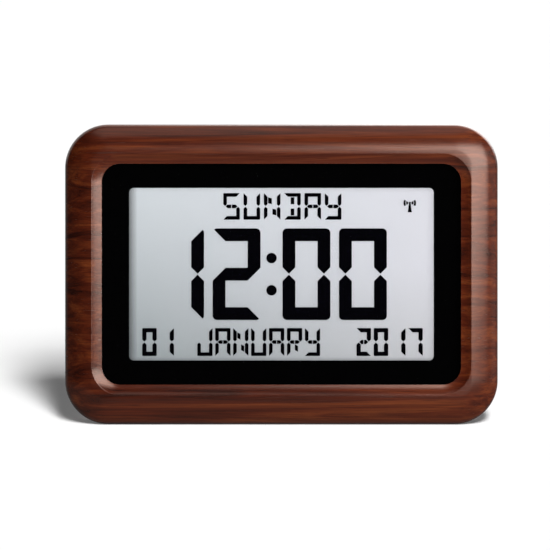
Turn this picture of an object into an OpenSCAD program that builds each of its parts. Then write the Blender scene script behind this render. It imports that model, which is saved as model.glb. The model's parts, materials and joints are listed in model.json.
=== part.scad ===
// Radio-controlled calendar clock: a wooden frame round a large liquid-crystal display,
// with a moulded rear cover, a fold-out easel leg, battery bay and setting buttons.
// Millimetres, +Z up. The clock leans back on its leg. The origin lies in the middle of
// the flat underside of the frame, where it rests on the table.

/* [Frame] */
// Width of the wooden frame
frame_w = 260; // [240:1:300]
// Height of the wooden frame
frame_h = 180; // [178:1:210]
// Depth of the wooden frame
frame_d = 24; // [23:0.5:28]
// Radius of the frame's outer corners
corner_r = 26; // [23:0.5:32]
// Width of wood beside the window
side_border = 22.15; // [20.5:0.05:24]
// Width of wood above and below the window
end_border = 23.65; // [21:0.05:25]
// Width of the hollow moulding round the window
cove_w = 6; // [4:0.25:7]
// Radius of the window's corners
window_r = 11; // [8:0.5:14]
// Radius where the rounded front runs into the side
edge_r = 6; // [4:0.25:8]
// Height of the square edge between the moulding and the window
lip_t = 2.975; // [2.5:0.025:3.5]
// Angle that the clock leans back, in degrees
lean = 10; // [6:0.5:14]

/* [Display] */
// Width of the black surround beside the display
surround_side = 16.35; // [14:0.05:24]
// Width of the black surround above and below the display
surround_end = 14.55; // [13:0.05:20]
// Radius of the corners of the printed surround
view_r = 2.8; // [1:0.1:5]
// Thickness of the clear window
window_t = 2; // [1.5:0.1:3]
// How far the window reaches behind the wood on each side
window_lap = 5; // [4:0.25:5.5]
// Thickness of each display glass
glass_t = 1.1; // [0.7:0.1:1.4]
// Thickness of the foam seal between surround and display
gasket_t = 1.2; // [0.8:0.1:2]
// Share of the display's height that the time digits take
time_share = 0.532; // [0.4:0.002:0.54]
// Share of the display's height that the weekday takes
day_share = 0.1544; // [0.12:0.0002:0.165]
// Share of the display's height that the date takes
date_share = 0.1622; // [0.12:0.0002:0.165]

/* [Electronics] */
// Width of the main circuit board beside the display's tub
board_side = 7.7; // [7.2:0.1:9]
// Thickness of the circuit boards
board_t = 1.6; // [1:0.2:2]
// Diameter of the ferrite rod
rod_dia = 8; // [6:0.25:9]
// Length of the ferrite rod
rod_l = 80; // [70:1:84]

/* [Rear cover] */
// Thickness of the cover's rim
rim_t = 2.5; // [2:0.1:3]
// Width of wood left round the rim
rim_inset = 4; // [3:0.25:5]
// Wall thickness of the raised housing
wall = 2.2; // [1.8:0.1:2.6]
// Width of the raised housing
housing_w = 192; // [180:1:206]
// Distance from the frame's upper edge down to the housing
housing_down = 42; // [36:0.5:46]
// Height of the housing's lower edge above the frame's lower edge
housing_up = 10; // [8:0.5:12]
// Radius of the keyhole's round opening
keyhole_r = 4.25; // [3.5:0.05:5]
// Width of the keyhole's slot
keyhole_slot = 4.2; // [3:0.1:5]
// Diameter of the battery cells
cell_dia = 14.2; // [10:0.1:14.5]
// Length of the battery cells with their tips
cell_l = 50.5; // [44:0.1:50.5]
// Clearance round sliding pieces
slide_gap = 0.25; // [0.15:0.05:0.4]

/* [Easel leg] */
// Width of the leg
leg_w = 60; // [40:1:64]
// Thickness of the leg
leg_t = 4; // [3:0.1:5]
// Distance from the button row down to the hinge
hinge_down = 23; // [19:0.5:33]
// Angle of the leg behind the upright when it is open, in degrees
leg_out = 15; // [10:1:24]
// Diameter of the hinge pin
pin_dia = 2.5; // [2:0.1:3]
// Thickness of the leg's rubber pads
pad_t = 1.2; // [0.8:0.1:2]

/* [Buttons] */
// Length of a setting button
button_l = 11; // [8:0.5:13]
// Height of a setting button
button_h = 6; // [4:0.25:8]
// Distance from one setting button to the next
button_pitch = 22; // [18:0.5:26]
// How far a button travels
press = 0.6; // [0.3:0.1:1]
// How far the buttons stand out
button_out = 1; // [0.5:0.1:1.5]

/* [Hidden] */
$fn = 64;

// What the display shows
day_text = "SUNDAY";
time_text = "1200";
date_text = "01";
month_text = "JANUARY";
year_text = "2017";

// Overshoot of cutters past the faces that they cut
over = 1;
// Clearance between pieces that drop into each other
drop_gap = 0.4;
// Clearance round a screw in its hole
screw_gap = 0.05;
// Clearance between pieces that nearly touch
near_gap = 0.1;

// Moulding of the frame's front: a hollow round the window and a rounded face outside it
cove_low = 10;
cove_high = 34;
cove_arc = cove_w / (sin(cove_high) - sin(cove_low));
cove_d = cove_arc * (cos(cove_low) - cos(cove_high));
face_low = 5;
face_high = 38;
face_w = min(side_border, end_border) - cove_w;
face_arc = (face_w - edge_r * (1 - sin(face_high))) / (sin(face_high) - sin(face_low));
face_d = face_arc * (cos(face_low) - cos(face_high)) + edge_r * cos(face_high);
window_w = frame_w - 2 * side_border;
window_h = frame_h - 2 * end_border;
view_w = window_w - 2 * surround_side;
view_h = window_h - 2 * surround_end;

// Depths behind the frame's front ridge, from the window to the battery door
film_t = 0.3;
tape_t = 0.2;
tape_inset = 0.8;
lip_d = cove_d + lip_t;
pane_d = lip_d + tape_t;
mask_d = pane_d + window_t;
gasket_d = mask_d + film_t;
polariser_d = gasket_d + gasket_t;
front_glass_d = polariser_d + film_t;
cell_d = front_glass_d + glass_t;
rear_glass_d = cell_d + film_t;
reflector_d = rear_glass_d + glass_t;
tray_floor_d = reflector_d + film_t;
tray_t = 1.6;
boss_h = 1.2;
board_d = tray_floor_d + tray_t + boss_h;
board_back = board_d + board_t;
bay_gap = 0.3;
bay_t = 1;
bay_floor_d = board_back + bay_gap + bay_t;
cell_axis_d = bay_floor_d + near_gap + cell_dia / 2;
door_t = 1.2;
tongue_t = 1.2;
housing_d = cell_axis_d + cell_dia / 2 + bay_gap + tongue_t + door_t;
rim_d = frame_d - rim_t;

// Pocket in the back of the frame, and the tray that is screwed to its floor
pocket_inset = 10;
pocket_w = frame_w - 2 * pocket_inset;
pocket_end_inset = 11.7;
pocket_h = frame_h - 2 * pocket_end_inset;
pocket_tight = 8;
pocket_r = corner_r - pocket_tight;
pocket_d = gasket_d + 2 * near_gap;
tray_gap = 1;
flange_t = 2;
flange_back = pocket_d + flange_t;
pane_w = window_w + 2 * window_lap;
pane_h = window_h + 2 * window_lap;
pane_r = window_r + window_lap;

// Sizes across the display, from the visible part outwards
film_margin = 3;
side_margin = 4.5;
ledge = 4.5;
polariser_w = view_w + 2 * film_margin;
polariser_h = view_h + 2 * film_margin;
front_glass_w = view_w + 2 * side_margin;
rear_glass_h = polariser_h;
front_glass_h = rear_glass_h + 2 * ledge;
glass_gap = 0.3;
seal_inset = 0.5;
seal_w = 1.5;
tub_wall = 2;
tub_w = front_glass_w + 2 * (glass_gap + tub_wall);
tub_h = front_glass_h + 2 * (glass_gap + tub_wall);
strip_t = 2.5;
strip_inset = 6.5;
strip_w = view_w - 2 * strip_inset;
strip_v = (rear_glass_h + front_glass_h) / 4;

// Characters of the display: digits of the time, the small rows above and below, and the signal sign
time_h = time_share * view_h;
time_w = 0.522 * time_h;
time_bar = 0.268 * time_w;
time_pitch = 1.18 * time_w;
time_round = 0.095 * time_w;
time_tip = 0.009 * time_w;
hours_x = -0.24 * view_w;
minutes_x = 0.175 * view_w;
colon_x = (hours_x + minutes_x) / 2;
colon_v = 0.176 * time_h;
colon_r = 0.057 * time_h;
day_h = day_share * view_h;
day_w = 0.0546 * view_w;
day_pitch = 0.0667 * view_w;
date_h = date_share * view_h;
month_w = 0.0503 * view_w;
month_pitch = 0.0589 * view_w;
number_w = 0.0477 * view_w;
number_pitch = 0.0567 * view_w;
letter_bar = 0.012 * view_w;
number_bar = 0.0142 * view_w;
row_v = time_h / 2 + 0.1275 * view_h;
icon_r = 0.04 * view_h;

// Main board and what it carries, measured from the middle of the face
board_w = tub_w + 2 * board_side;
board_lap = 1.5;
board_h = tub_h + 2 * board_lap;
board_r = 2;
boss_r = 3.2;
boss_edge = 0.6;
boss_in = 15;
boss_x = board_w / 2 - boss_r - boss_edge;
boss_v = board_h / 2 - boss_in;
screw_room = 0.3;
chip_at = [-45, 4];
crystal_at = [-24, 4];
receiver_size = [30, 18];
receiver_edge = 7.1;
receiver_pin_l = 1.2;
receiver_d = board_back + receiver_pin_l;
saddle_rim = 1.5;
rod_v = pocket_h / 2 - tray_gap - rod_dia / 2 - 2 * saddle_rim;
rod_d = (flange_back + rim_d) / 2;
rod_side = 58;
rod_x = pocket_w / 2 - rod_side;
receiver_side = 4;
receiver_at = [rod_x - receiver_side, board_h / 2 - receiver_edge - receiver_size[1] / 2];
winding_t = 0.8;
coil_r = rod_dia / 2 + winding_t;
coil_l = 22;
lead_r = 0.35;
lead_d = receiver_d + board_t + lead_r;

// Screws: thread radius, head radius, head height
case_screw = [1.25, 2.9, 1.7];
tray_screw = [1.25, 2.5, 1.5];
board_screw = [0.95, 1.9, 1.3];
case_screw_l = 12;
tray_screw_l = 6.5;
board_screw_l = 5.2;
recess_depth = 0.9;
board_spots = [for (sx = [-1, 1], sv = [-1, 1]) [sx * boss_x, sv * boss_v]];

// Rear cover: places are measured from the middle of the face
base_v = -frame_h / 2;
housing_low = base_v + housing_up;
housing_high = frame_h / 2 - housing_down;
housing_h = housing_high - housing_low;
housing_v = (housing_low + housing_high) / 2;
housing_r = 8;
housing_edge = 3;
rim_w = frame_w - 2 * rim_inset;
rim_h = frame_h - 2 * rim_inset;
rim_r = corner_r - rim_inset;
button_down = 15;
button_v = housing_high - button_down;
keyhole_down = 28;
keyhole_v = frame_h / 2 - keyhole_down;
keyhole_rise = 9;

// Places of the screws: the cover's in its corners and middle, and the tray's beside the window
case_edge = 5;
case_corner = (rim_r - case_edge) * cos(45) - rim_r;
case_middle_edge = 4;
case_middle_v = rim_h / 2 - case_middle_edge;
case_spots = [
    for (sx = [-1, 1], sv = [-1, 1]) [sx * (rim_w / 2 + case_corner), sv * (rim_h / 2 + case_corner)],
    for (sv = [-1, 1]) [0, sv * case_middle_v]
];
tray_edge = 3.8;
tray_spot_v = pocket_h / 2 - pocket_r - tray_edge;
tray_spots = [
    for (sx = [-1, 1], sv = [-1, 1]) [sx * (pocket_w / 2 - tray_edge), sv * tray_spot_v]
];

// Battery bay with its door, which slides out past the side of the housing
spring_l = 5;
contact_t = 0.5;
cell_gap = 0.6;
bay_wall = 1.2;
bay_w = 2 * (cell_dia + drop_gap) + cell_gap;
bay_l = cell_l + 2 * contact_t + spring_l;
bay_x = 62;
bay_rise = 1.5;
bay_v = (housing_low + button_v) / 2 + bay_rise;
cell_spots = [for (s = [-1, 1]) bay_x + s * (cell_dia + cell_gap) / 2];
door_margin = 1.2;
tongue = 1.6;
door_x = bay_x - bay_w / 2 - bay_wall - door_margin;
door_h = bay_l + 2 * (bay_wall + door_margin);
door_end = housing_w / 2;
door_seat = 1.6;
seat_d = housing_d - door_t - tongue_t - door_seat;

// Solder tags of the battery plates, and the leads from them to the board
tag_w = 3;
tag_out = 3;
tag_ahead = 3;
tag_d = cell_axis_d - tag_ahead;
battery_lead_r = 0.7;

// Easel leg: it turns on a pin at the top and swings out to its stop
hinge_v = button_v - hinge_down;
hinge_up = hinge_v - base_v;
knuckle_r = 2.6;
knuckle_gap = 0.3;
hinge_d = housing_d - knuckle_r;
knuckle_proud = 0.2;
leg_front = leg_t - knuckle_r + knuckle_proud;
leg_open = lean + leg_out;
heel = 4;
stop_gap = 0.15;
recess_d = hinge_d - heel * sin(leg_open) - leg_front * cos(leg_open) - stop_gap;
recess_top = hinge_v + heel * cos(leg_open) + (leg_t - leg_front) * sin(leg_open) + knuckle_gap;
recess_w = leg_w + 2 * drop_gap;
recess_wall = 2.5;
pin_r = pin_dia / 2;
pin_hold = 1.8;
running_gap = 0.05;
pin_fit = 0.02;
foot_w = 18;
pad_inset = 1.5;
pad_r = 1;

// Buttons in one row above the leg, and the sunken reset button
button_flange = 1;
flange_out = 1;
stem_r = 2;
switch_h = 3.5;
plunger_h = 1.5;
plunger_r = 1.75;
switch_w = 6;
stem_end = board_back + switch_h + plunger_h + press + near_gap;
flange_d = housing_d - wall - near_gap;
button_x = [for (i = [-2 : 2]) i * button_pitch];
reset_x = 3 * button_pitch;
reset_r = 1.6;
reset_sunk = 0.6;

// Where the leaned clock touches the table: the middle of the flat underside
base_land = 0.8;
base_front = face_d + base_land;
base_y = (base_front + frame_d) / 2;
base_z = (base_y - base_front) * tan(lean);
shift_y = base_y * cos(lean) + base_z * sin(lean);
shift_z = base_z * cos(lean) - base_y * sin(lean);
hinge_y = hinge_d * cos(lean) + hinge_up * sin(lean) - shift_y;
hinge_z = hinge_up * cos(lean) - hinge_d * sin(lean) - shift_z;
leg_reach = (hinge_z + leg_t) / cos(leg_out);
reach_big = 2 * frame_w;

// Stands the clock up: face coordinates are X across, Y up the face and -Z into the depth
module placed() {
    translate([0, -shift_y, -shift_z])
        rotate([-lean, 0, 0])
            translate([0, 0, frame_h / 2])
                rotate([90, 0, 0])
                    children();
}

// Everything under the given height above the table
module below(height) {
    translate([-reach_big / 2, -reach_big / 2, height - reach_big])
        cube(reach_big);
}

// Extrudes a shape on the face between two depths
module slab(d0, d1) {
    translate([0, 0, -d1])
        linear_extrude(height = d1 - d0)
            children();
}

// A round post at a place on the face, between two depths
module post(at, r, d0, d1) {
    translate([at[0], at[1], -d1])
        cylinder(h = d1 - d0, r = r);
}

module rounded_rect(w, h, r) {
    square([w - 2 * r, h], center = true);
    square([w, h - 2 * r], center = true);
    for (sx = [-1, 1], sy = [-1, 1])
        translate([sx * (w / 2 - r), sy * (h / 2 - r)])
            circle(r);
}

// A bar with round ends
module stadium(l, h) {
    square([l - h, h], center = true);
    for (s = [-1, 1])
        translate([s * (l - h) / 2, 0])
            circle(h / 2);
}

// A rectangular ring
module rect_ring(w, h, inner_w, inner_h) {
    difference() {
        square([w, h], center = true);
        square([inner_w, inner_h], center = true);
    }
}

// Carries a profile round a rectangle: its x runs from 0 at the corner's centre out to r
module moulded(w, h, r) {
    run_w = w - 2 * r;
    run_h = h - 2 * r;
    for (i = [0 : 3]) {
        length = i % 2 == 0 ? run_h : run_w;
        out = i % 2 == 0 ? run_w / 2 : run_h / 2;
        rotate([0, 0, 90 * i])
            translate([out, length / 2, 0]) {
                rotate_extrude(angle = 90)
                    children();
                rotate([90, 0, 0])
                    linear_extrude(height = length)
                        children();
            }
    }
}

// Section of the frame's rounded face, from the corner's centre to the outside
module face_profile() {
    ridge = corner_r - face_w;
    arc_x = ridge - face_arc * sin(face_low);
    arc_y = -face_arc * cos(face_low);
    meet_x = arc_x + face_arc * sin(face_high);
    edge_x = corner_r - edge_r;
    translate([0, -frame_d])
        square([ridge, frame_d]);
    intersection() {
        translate([arc_x, arc_y])
            circle(face_arc);
        translate([ridge, -frame_d])
            square([meet_x - ridge, frame_d + over]);
    }
    intersection() {
        translate([edge_x, -face_d])
            circle(edge_r);
        translate([meet_x, -face_d])
            square([corner_r - meet_x + over, edge_r + over]);
    }
    translate([meet_x, -frame_d])
        square([corner_r - meet_x, frame_d - face_d]);
}

// Section of the window's hollow moulding, as the cutter that makes it
module cove_profile() {
    translate([0, -lip_d - over])
        square([window_r, lip_d + 2 * over]);
    intersection() {
        translate([window_r - cove_arc * sin(cove_low), cove_arc * cos(cove_high)])
            circle(cove_arc);
        translate([window_r, -lip_d])
            square([cove_w + over, lip_d + over]);
    }
}

module front_frame() {
    color("saddlebrown")
        difference() {
            placed()
                difference() {
                    union() {
                        moulded(frame_w, frame_h, corner_r)
                            face_profile();
                        slab(0, frame_d)
                            square([frame_w - 2 * corner_r, frame_h - 2 * corner_r], center = true);
                    }
                    moulded(window_w + 2 * cove_w, window_h + 2 * cove_w, window_r + cove_w)
                        cove_profile();
                    slab(-over, frame_d + over)
                        square([window_w - 2 * window_r, window_h - 2 * window_r], center = true);
                    slab(lip_d, frame_d + over)
                        rounded_rect(pane_w + 2 * drop_gap, pane_h + 2 * drop_gap, pane_r + drop_gap);
                    slab(pocket_d, frame_d + over)
                        rounded_rect(pocket_w, pocket_h, pocket_r);
                    slab(rim_d, frame_d + over)
                        rounded_rect(rim_w, rim_h, rim_r);
                    for (at = case_spots)
                        post(at, case_screw[0] + screw_gap, frame_d - case_screw_l - over, frame_d);
                    for (at = tray_spots)
                        post(at, tray_screw[0] + screw_gap, flange_back - tray_screw_l - screw_room, frame_d);
                }
            below(0);
        }
}

module window_tape() {
    color("dimgray")
        placed()
            slab(lip_d, pane_d)
                difference() {
                    rounded_rect(pane_w - 2 * tape_inset, pane_h - 2 * tape_inset, pane_r - tape_inset);
                    rounded_rect(window_w + 2 * tape_inset, window_h + 2 * tape_inset, window_r + tape_inset);
                }
}

module display_window() {
    color("lightgray", 0.4)
        placed()
            slab(pane_d, mask_d)
                rounded_rect(pane_w, pane_h, pane_r);
}

module window_mask() {
    color("black")
        placed()
            slab(mask_d, gasket_d)
                difference() {
                    rounded_rect(pane_w - 2 * film_t, pane_h - 2 * film_t, pane_r - film_t);
                    rounded_rect(view_w, view_h, view_r);
                }
}

module display_gasket() {
    color("darkslategray")
        placed()
            slab(gasket_d, polariser_d)
                rect_ring(polariser_w, polariser_h, view_w + film_margin, view_h + film_margin);
}

module front_polariser() {
    color("gainsboro", 0.5)
        placed()
            slab(polariser_d, front_glass_d)
                square([polariser_w, polariser_h], center = true);
}

module front_glass() {
    color("lightcyan", 0.5)
        placed()
            slab(front_glass_d, cell_d)
                square([front_glass_w, front_glass_h], center = true);
}

// The ring of resin that keeps the two glasses together
module seal_ring() {
    w = front_glass_w - 2 * seal_inset;
    h = rear_glass_h - 2 * seal_inset;
    rect_ring(w, h, w - 2 * seal_w, h - 2 * seal_w);
}

module cell_seal() {
    color("tan")
        placed()
            slab(cell_d, rear_glass_d)
                seal_ring();
}

// Bars of a character cell: a to f run round it from the top, p and q are the middle,
// i and l the upright centre, h j k n the diagonals
glyph_names = "0123456789ABCDEFGHIJKLMNOPQRSTUVWXYZ";
glyph_bars = [
    "abcdef", "bc", "abpqed", "abpqcd", "fpqbc", "afpqcd", "afpqecd", "abc", "abcdefpq", "abcdfpq",
    "abcefpq", "abcdilq", "adef", "abcdil", "adefpq", "aefpq", "acdefq", "bcefpq", "adil", "bcde",
    "efpjn", "def", "bcefhj", "bcefhn", "abcdef", "abefpq", "abcdefn", "abefpqn", "afpqcd", "ail",
    "bcdef", "efkj", "bcefkn", "hjkn", "fpqbcd", "adjk"
];

// Corner points of one bar in a cell of width w and height h
function bar_points(bar, w, h, sv, sh, tip, gap) =
    let (
        mid = h / 2,
        top = h - sh,
        high = mid + sh / 2 + tip,
        low = mid - sh / 2 - tip,
        right = w - sv,
        half = (w - gap) / 2,
        thick = 1.6 * sv
    )
    bar == "a" ? [[0, h], [w, h], [right, top], [sv, top]] :
    bar == "d" ? [[0, 0], [w, 0], [right, sh], [sv, sh]] :
    bar == "b" ? [[w, h], [right, top], [right, high], [w - sv / 2, mid + tip], [w, high]] :
    bar == "c" ? [[w, 0], [right, sh], [right, low], [w - sv / 2, mid - tip], [w, low]] :
    bar == "f" ? [[0, h], [sv, top], [sv, high], [sv / 2, mid + tip], [0, high]] :
    bar == "e" ? [[0, 0], [sv, sh], [sv, low], [sv / 2, mid - tip], [0, low]] :
    bar == "p" ? [[sv / 2 + gap, mid], [sv + gap, mid + sh / 2], [half, mid + sh / 2],
                  [half, mid - sh / 2], [sv + gap, mid - sh / 2]] :
    bar == "q" ? [[w - sv / 2 - gap, mid], [right - gap, mid + sh / 2], [w - half, mid + sh / 2],
                  [w - half, mid - sh / 2], [right - gap, mid - sh / 2]] :
    bar == "i" ? [[(w - sv) / 2, top - gap], [(w + sv) / 2, top - gap],
                  [(w + sv) / 2, high], [(w - sv) / 2, high]] :
    bar == "l" ? [[(w - sv) / 2, sh + gap], [(w + sv) / 2, sh + gap],
                  [(w + sv) / 2, low], [(w - sv) / 2, low]] :
    bar == "h" ? [[sv + gap, top - gap], [half, high + thick], [half, high], [sv + gap, top - gap - thick]] :
    bar == "n" ? [[right - gap, sh + gap], [w - half, low - thick], [w - half, low],
                  [right - gap, sh + gap + thick]] :
    bar == "j" ? [[right - gap, top - gap], [w - half, high + thick], [w - half, high],
                  [right - gap, top - gap - thick]] :
                 [[sv + gap, sh + gap], [half, low - thick], [half, low], [sv + gap, sh + gap + thick]];

// One character in its cell, centred, with rounded outer corners
module glyph(name, w, h, sv, sh, tip, gap, r) {
    bars = glyph_bars[search(name, glyph_names)[0]];
    translate([-w / 2, -h / 2])
        intersection() {
            translate([w / 2, h / 2])
                rounded_rect(w, h, r);
            union() {
                for (bar = bars)
                    polygon(bar_points(bar, w, h, sv, sh, tip, gap));
            }
        }
}

// A row of small characters about its middle
module small_row(row_text, middle, v, w, h, pitch, bar) {
    tip = 0.1 * bar;
    gap = 0.15 * bar;
    round_r = 0.25 * bar;
    for (i = [0 : len(row_text) - 1])
        translate([middle + (i - (len(row_text) - 1) / 2) * pitch, v])
            glyph(row_text[i], w, h, bar, bar, tip, gap, round_r);
}

// The hours and minutes: bars with a middle join up, and the others part in the middle
module time_bars() {
    color("black")
        placed()
            slab(cell_d, rear_glass_d) {
                for (i = [0 : 3]) {
                    parted = search(time_text[i], "01") != [] ? time_tip : 0;
                    pair_x = i < 2 ? hours_x : minutes_x;
                    translate([pair_x + (i % 2 - 0.5) * time_pitch, 0])
                        glyph(time_text[i], time_w, time_h, time_bar, time_bar, parted, 0, time_round);
                }
                for (s = [-1, 1])
                    translate([colon_x, s * colon_v])
                        circle(colon_r);
            }
}

module calendar_bars() {
    weekday_x = 0.003 * view_w;
    date_x = -0.405 * view_w;
    month_x = -0.0745 * view_w;
    year_x = 0.3555 * view_w;
    color("black")
        placed()
            slab(cell_d, rear_glass_d) {
                small_row(day_text, weekday_x, row_v, day_w, day_h, day_pitch, letter_bar);
                small_row(date_text, date_x, -row_v, number_w, date_h, number_pitch, number_bar);
                small_row(month_text, month_x, -row_v, month_w, date_h, month_pitch, letter_bar);
                small_row(year_text, year_x, -row_v, number_w, date_h, number_pitch, number_bar);
            }
}

// A mast with waves to either side
module signal_icon() {
    icon_x = 0.4217 * view_w;
    icon_v = row_v + 0.5 * icon_r;
    dot_r = 0.17 * icon_r;
    mast_top = 0.11 * icon_r;
    mast_foot = 0.3 * icon_r;
    mast_h = 1.36 * icon_r;
    wave_t = 0.28 * icon_r;
    fan_h = 0.6 * icon_r;
    color("black")
        placed()
            slab(cell_d, rear_glass_d)
                translate([icon_x, icon_v]) {
                    circle(dot_r);
                    polygon([[-mast_top, 0], [mast_top, 0], [mast_foot, -mast_h], [-mast_foot, -mast_h]]);
                    for (r = [0.4 * icon_r, 0.77 * icon_r])
                        intersection() {
                            difference() {
                                circle(r + wave_t / 2);
                                circle(r - wave_t / 2);
                            }
                            for (s = [-1, 1])
                                polygon([[0, 0], [s * icon_r, fan_h], [s * icon_r, -fan_h]]);
                        }
                }
}

module rear_glass() {
    color("lightcyan", 0.5)
        placed()
            slab(rear_glass_d, reflector_d)
                square([front_glass_w, rear_glass_h], center = true);
}

module reflector_film() {
    color("silver")
        placed()
            slab(reflector_d, tray_floor_d)
                square([front_glass_w - 2 * seal_inset, rear_glass_h - 2 * seal_inset], center = true);
}

// Moulded tray that holds the glass and carries the main board on four bosses
module display_tray() {
    flange_w = pocket_w - 2 * tray_gap;
    flange_h = pocket_h - 2 * tray_gap;
    color("whitesmoke")
        placed()
            difference() {
                union() {
                    slab(pocket_d, flange_back)
                        rounded_rect(flange_w, flange_h, pocket_r - tray_gap);
                    slab(pocket_d, tray_floor_d + tray_t)
                        square([tub_w, tub_h], center = true);
                    for (at = board_spots)
                        post(at, boss_r, pocket_d, board_d);
                }
                slab(pocket_d - over, tray_floor_d)
                    square([front_glass_w + 2 * glass_gap, front_glass_h + 2 * glass_gap], center = true);
                for (s = [-1, 1])
                    slab(tray_floor_d - over, board_d + over)
                        translate([0, s * strip_v])
                            square([strip_w + 2 * glass_gap, strip_t + 2 * glass_gap], center = true);
                for (at = board_spots)
                    post(at, board_screw[0] + screw_gap,
                         board_back - board_screw_l - screw_room, board_d + over);
                for (at = tray_spots)
                    post(at, tray_screw[0] + screw_gap, pocket_d - over, flange_back + over);
            }
}

// A pan-head screw with a cross recess, its head seated at the given depth
module pan_screw(at, size, length, seat) {
    difference() {
        union() {
            post(at, size[0], seat - length, seat);
            post(at, size[1], seat, seat + size[2]);
        }
        slab(seat + size[2] / 2, seat + size[2] + over)
            translate(at)
                cross_recess(size[1]);
    }
}

module cross_recess(r) {
    arm_l = 1.3 * r;
    arm_w = 0.3 * r;
    square([arm_l, arm_w], center = true);
    square([arm_w, arm_l], center = true);
}

module tray_screws() {
    color("silver")
        placed()
            for (at = tray_spots)
                pan_screw(at, tray_screw, tray_screw_l, flange_back);
}

// A conductive rubber strip between the glass and the main board
module zebra_strip(side) {
    color("hotpink")
        placed()
            slab(cell_d, board_d)
                translate([0, side * strip_v])
                    square([strip_w, strip_t], center = true);
}

module zebra_strip_top() {
    zebra_strip(1);
}

module zebra_strip_bottom() {
    zebra_strip(-1);
}

module main_board() {
    color("seagreen")
        placed()
            difference() {
                slab(board_d, board_back)
                    rounded_rect(board_w, board_h, board_r);
                for (at = board_spots)
                    post(at, board_screw[0] + screw_gap, board_d - over, board_back + over);
            }
}

module board_screws() {
    color("silver")
        placed()
            for (at = board_spots)
                pan_screw(at, board_screw, board_screw_l, board_back);
}

// The clock's chip under its drop of black resin
module clock_chip() {
    dome_r = 9;
    dome_h = 1.6;
    color("black")
        placed()
            intersection() {
                translate([chip_at[0], chip_at[1], dome_r - dome_h - board_back])
                    sphere(dome_r);
                post(chip_at, dome_r, board_back, board_back + dome_h + over);
            }
}

module quartz_crystal() {
    can_r = 1.5;
    can_l = 8;
    color("silver")
        placed()
            translate([crystal_at[0] - can_l / 2, crystal_at[1], -board_back - can_r])
                rotate([0, 90, 0])
                    cylinder(h = can_l, r = can_r);
}

// Push switches under the buttons
module button_switches() {
    color("dimgray")
        placed()
            for (x = concat(button_x, [reset_x])) {
                slab(board_back, board_back + switch_h)
                    translate([x, button_v])
                        square(switch_w, center = true);
                post([x, button_v], plunger_r, board_back + switch_h, board_back + switch_h + plunger_h);
            }
}

module receiver_board() {
    color("darkgreen")
        placed()
            slab(receiver_d, receiver_d + board_t)
                translate(receiver_at)
                    square(receiver_size, center = true);
}

module receiver_chip() {
    chip_size = [8, 5];
    chip_t = 1;
    chip_down = 5;
    color("black")
        placed()
            slab(receiver_d + board_t, receiver_d + board_t + chip_t)
                translate([receiver_at[0], receiver_at[1] - chip_down])
                    square(chip_size, center = true);
}

module receiver_pins() {
    pin_pitch = 2.54;
    pin_w = 0.64;
    pin_edge = 2;
    color("gold")
        placed()
            for (i = [-1.5 : 1.5])
                slab(board_back, receiver_d)
                    translate([receiver_at[0] + i * pin_pitch,
                               receiver_at[1] - receiver_size[1] / 2 + pin_edge])
                        square(pin_w, center = true);
}

// A cylinder along the ferrite rod's axis
module along_rod(r, length) {
    translate([rod_x - length / 2, rod_v, -rod_d])
        rotate([0, 90, 0])
            cylinder(h = length, r = r);
}

module ferrite_rod() {
    color("dimgray")
        placed()
            along_rod(rod_dia / 2, rod_l);
}

module antenna_coil() {
    color("chocolate")
        placed()
            difference() {
                along_rod(coil_r, coil_l);
                along_rod(rod_dia / 2 + screw_gap, coil_l + 2 * over);
            }
}

// Two saddles that hold the ferrite rod on the tray
module antenna_holder() {
    saddle_w = 5;
    saddle_h = rod_dia + 2 * saddle_rim;
    saddle_x = rod_l / 2 - 2 * saddle_w;
    color("whitesmoke")
        placed()
            difference() {
                for (s = [-1, 1])
                    slab(flange_back, rod_d)
                        translate([rod_x + s * saddle_x, rod_v])
                            square([saddle_w, saddle_h], center = true);
                along_rod(rod_dia / 2 + screw_gap, rod_l + 2 * over);
            }
}

// The coil's two wires, lying on the receiver board
module antenna_leads() {
    lead_edge = 2;
    lead_apart = 12;
    lead_low = receiver_at[1] + receiver_size[1] / 2 - lead_edge;
    behind = min(abs(lead_d - lead_r - rod_d), coil_r - winding_t);
    lead_high = rod_v - sqrt(pow(coil_r, 2) - pow(behind, 2)) - near_gap;
    color("chocolate")
        placed()
            for (s = [-1, 1])
                translate([rod_x + s * lead_apart / 2, lead_low, -lead_d])
                    rotate([-90, 0, 0])
                        cylinder(h = lead_high - lead_low, r = lead_r);
}

// Section of the housing, from the corner's centre to the outside, with a rounded rear edge
module housing_profile() {
    translate([0, -housing_d])
        square([housing_r - housing_edge, housing_d - rim_d]);
    translate([0, housing_edge - housing_d])
        square([housing_r, housing_d - rim_d - housing_edge]);
    intersection() {
        translate([housing_r - housing_edge, housing_edge - housing_d])
            circle(housing_edge);
        translate([housing_r - housing_edge, -housing_d - over])
            square(housing_edge + over);
    }
}

// The raised housing as a solid block
module housing_block() {
    translate([0, housing_v, 0]) {
        moulded(housing_w, housing_h, housing_r)
            housing_profile();
        slab(rim_d, housing_d)
            square([housing_w - 2 * housing_r, housing_h - 2 * housing_r], center = true);
    }
}

// A box on the face: x and v limits, between two depths
module face_box(x0, x1, v0, v1, d0, d1) {
    translate([x0, v0, -d1])
        cube([x1 - x0, v1 - v0, d1 - d0]);
}

// The door's plate and the tongue under it, each grown by a gap for its cut in the cover
module door_shape(gap, past) {
    face_box(door_x - gap, door_end + past, bay_v - door_h / 2 - gap, bay_v + door_h / 2 + gap,
        housing_d - door_t - gap / 2, housing_d + past);
    face_box(door_x - tongue - gap, door_end + past,
        bay_v - door_h / 2 - tongue - gap, bay_v + door_h / 2 + tongue + gap,
        housing_d - door_t - tongue_t - gap / 2, housing_d - door_t + gap / 2);
}

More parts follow.
